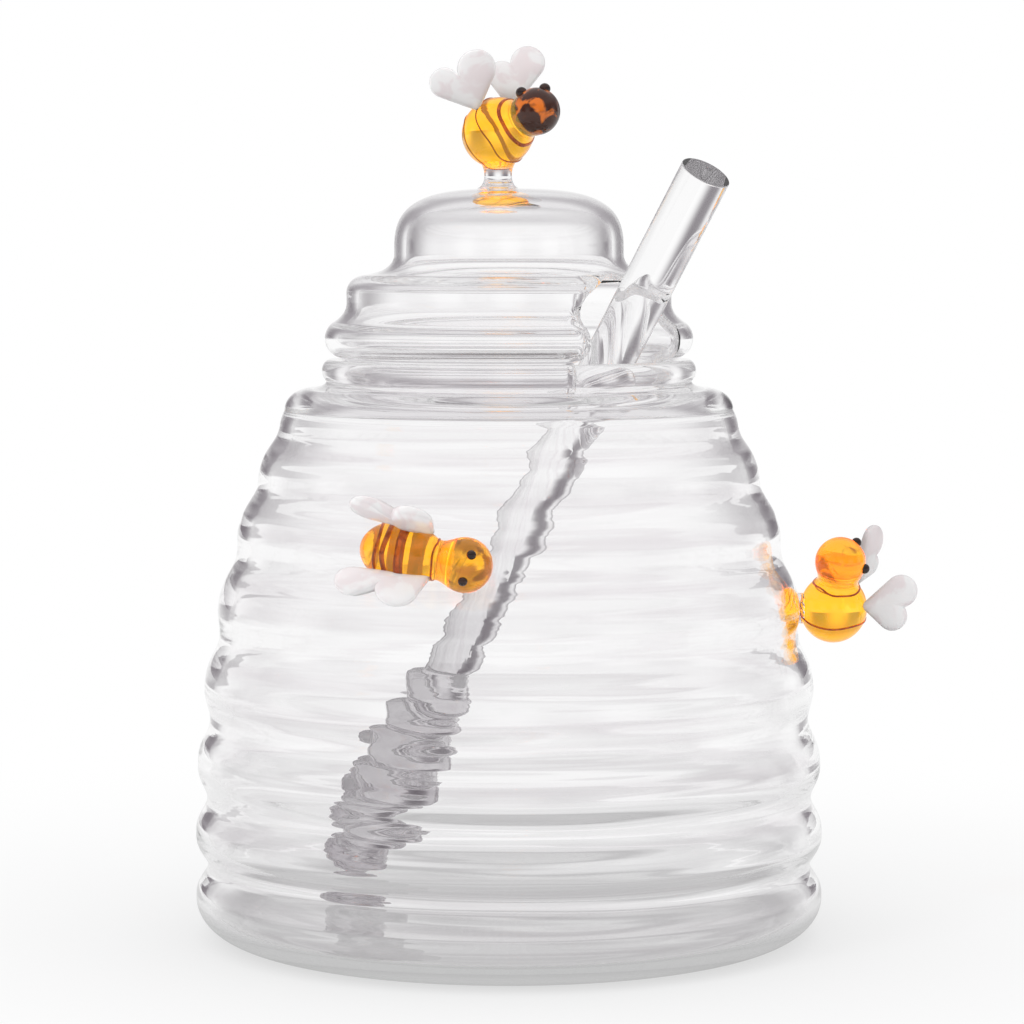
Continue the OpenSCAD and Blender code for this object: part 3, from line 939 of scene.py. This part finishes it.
def cut_out(piece, cutter):
    """Cuts the cutter's shape out of the piece for good, and takes the cutter away."""
    cut = piece.modifiers.new("cut", "BOOLEAN")
    cut.operation = "DIFFERENCE"
    cut.solver = "EXACT"
    cut.object = cutter
    depsgraph = bpy.context.evaluated_depsgraph_get()
    done = bpy.data.meshes.new_from_object(piece.evaluated_get(depsgraph))
    piece.modifiers.clear()
    piece.data = done
    bpy.data.objects.remove(cutter)


lid_glass = clear_glass("lid_glass", 9, 260, 0.00006, reflection_streak=(0.965, 0.96, 0.965, 1))
# Painted shade: the skirt's lower edge is painted dark grey.
paint_shade_beyond(lid_glass, (0, 0, -1), -(skirt_bottom + 0.3), (0.30, 0.27, 0.28, 1))
# The notch's 80 degrees are turned in finer steps than the rest.
lid_mesh = spun_mesh(lid_outline, (80, 160), (280, 112), start=dipper_turn - 90 - 40)
lid_whole = BVHTree.FromBMesh(lid_mesh)
lid = finished("lid", lid_mesh, lid_glass, "lid", "clear_glass", "lid_dome")

# Dipper: a solid rod of clear glass, cut off flat at the top, whose lower end is worked into rounded
# ridges that hold the honey. It stands in the jar and leans on the rim through the lid's notch.
rod_radius = 4.1
dipper_length = 147
head_length = 44
head_diameter = 16
head_end_diameter = 11
ridge_count = 7
foot_distance = 40.3
dipper_gap = 0.3


def foot_height(tilt):
    return floor_thickness + dipper_gap + rod_radius * math.sin(tilt)


dipper_tilt = math.radians(35)
for _ in range(6):
    reach = Vector(lip_centre) - Vector((-foot_distance, foot_height(dipper_tilt)))
    dipper_tilt = math.atan2(reach.x, reach.y) - math.asin((rod_radius + dipper_gap + rim_round) / reach.length)
foot_rise = foot_height(dipper_tilt)
rod_middle = foot_rise + (tier_radius + foot_distance) / math.tan(dipper_tilt)
notch_clearance = 0.9
notch_top = rod_middle + rod_radius / math.sin(dipper_tilt) + notch_clearance
cut_out(lid, notch_cutter(notch_top))
melt_notch_edge(lid, lid_whole, notch_top)


def ridge_radius(share):
    end_radius = head_end_diameter / 2
    full = end_radius + (head_diameter / 2 - end_radius) * math.sin(math.pi * share)
    valley = (end_radius - rod_radius + 0.6) * (1 + math.cos(2 * math.pi * ridge_count * share)) / 2
    return max(rod_radius, full - valley)


ridge_steps = 24
head_outline = [
    (ridge_radius(i / (ridge_count * ridge_steps)), head_length * i / (ridge_count * ridge_steps))
    for i in range(ridge_count * ridge_steps + 1)
]
foot_round = ellipse_arc((rod_radius - 0.5, 0.5), 0.5, 0.5, -90, 0, 6)
top_round = ellipse_arc((rod_radius - 0.25, dipper_length - 0.25), 0.25, 0.25, 0, 90, 6)
dipper_outline = distinct(
    [(0, 0)]
    + foot_round
    + [p for p in head_outline if p[1] > 0.6]
    + [(rod_radius, head_length + 25 * i) for i in range(1, 4)]
    + top_round
    + [(rod_radius - 0.6, dipper_length), (0, dipper_length)]
)
dipper_mesh = spun_mesh(dipper_outline, (360, 96))
stand = along_dipper_way() @ Matrix.Translation((-foot_distance * MM, 0, foot_rise * MM))
tipped = stand @ Matrix.Rotation(dipper_tilt, 4, "Y")
bmesh.ops.transform(dipper_mesh, matrix=tipped, verts=dipper_mesh.verts)
dipper_glass = clear_glass("dipper_glass", 60, 60, 0.00003)
lean = tipped.to_3x3() @ Vector((0, 0, 1))
top_along = lean.dot(stand.translation) / MM + dipper_length
# Painted shade: the rod greys over 70 mm from 57 mm below its top, so the thick ridged head looks darker.
painted_shade_below_top = 57
paint_shade_beyond(dipper_glass, -lean, painted_shade_below_top - top_along, (0.60, 0.58, 0.60, 1), fade=70)
# Painted shade: the rod's flat top is painted dark grey.
paint_shade_beyond(dipper_glass, lean, top_along - 0.12, (0.30, 0.29, 0.30, 1))
finished("dipper", dipper_mesh, dipper_glass, "dipper", "clear_glass", "dipper_rod", "dipper_head")

# Bee on the lid: the knob. It is made as the others are, but stands on a short clear stem, and its head
# is of brown glass streaked with orange.
lid_bee_girth = 11.5
stem_height = 3.8
lid_bee_place = Vector((-1.8, 0, dome_top + stem_height + lid_bee_girth / 2 - 0.4))
wings(
    "lid_bee",
    lid_bee_place,
    "lid",
    ((2.2, 2.4, 3.6), (4.9, 4.6, 11.6), (0.6, 4.2, 9.6), 2.9, 2.4),
    ((-3.2, -2.2, 3.4), (-3.5, -3.6, 10.3), (-8.8, -4.0, 8.0), 3.2, 2.5),
)
bee_body(
    "lid_bee",
    lid_bee_place,
    "lid",
    (6.3, -5, 3.3),
    lid_bee_girth,
    12.4,
    7.8,
    ((-2.9, 0.22, 0.9), (1.0, 0.2, 1.0), (4.4, 0.5, 0.5)),
)
streaked = glass_colours(
    "streaked_glass", 300, (0.85, 0.20, 0.02, 1), (0.045, 0.012, 0.008, 1), 0.03, 0.25, edge=0.42
)
stem_radius = 2.25
stem_end = dome_top + 4.4
stem_outline = distinct(
    [(0, dome_top - 0.6), (3.1, dome_top - 0.6)]
    + bend((3.4, dome_top), (2.4, dome_top + 0.4), (stem_radius, dome_top + 1.9), 10)
    + bend((stem_radius, dome_top + 2.0), (stem_radius, dome_top + 3.3), (3.0, stem_end), 10)
    + [(0, stem_end)]
)
stem_mesh = spun_mesh(stem_outline, (360, 96))
bmesh.ops.translate(stem_mesh, verts=stem_mesh.verts, vec=(lid_bee_place.x * MM, 0, 0))
finished("lid_bee_stand", stem_mesh, foot_glass, "lid", "clear_glass", "lid_bee_stem")
dress("lid_bee_head", streaked)
dress("lid_bee_antennae", drop_glass)
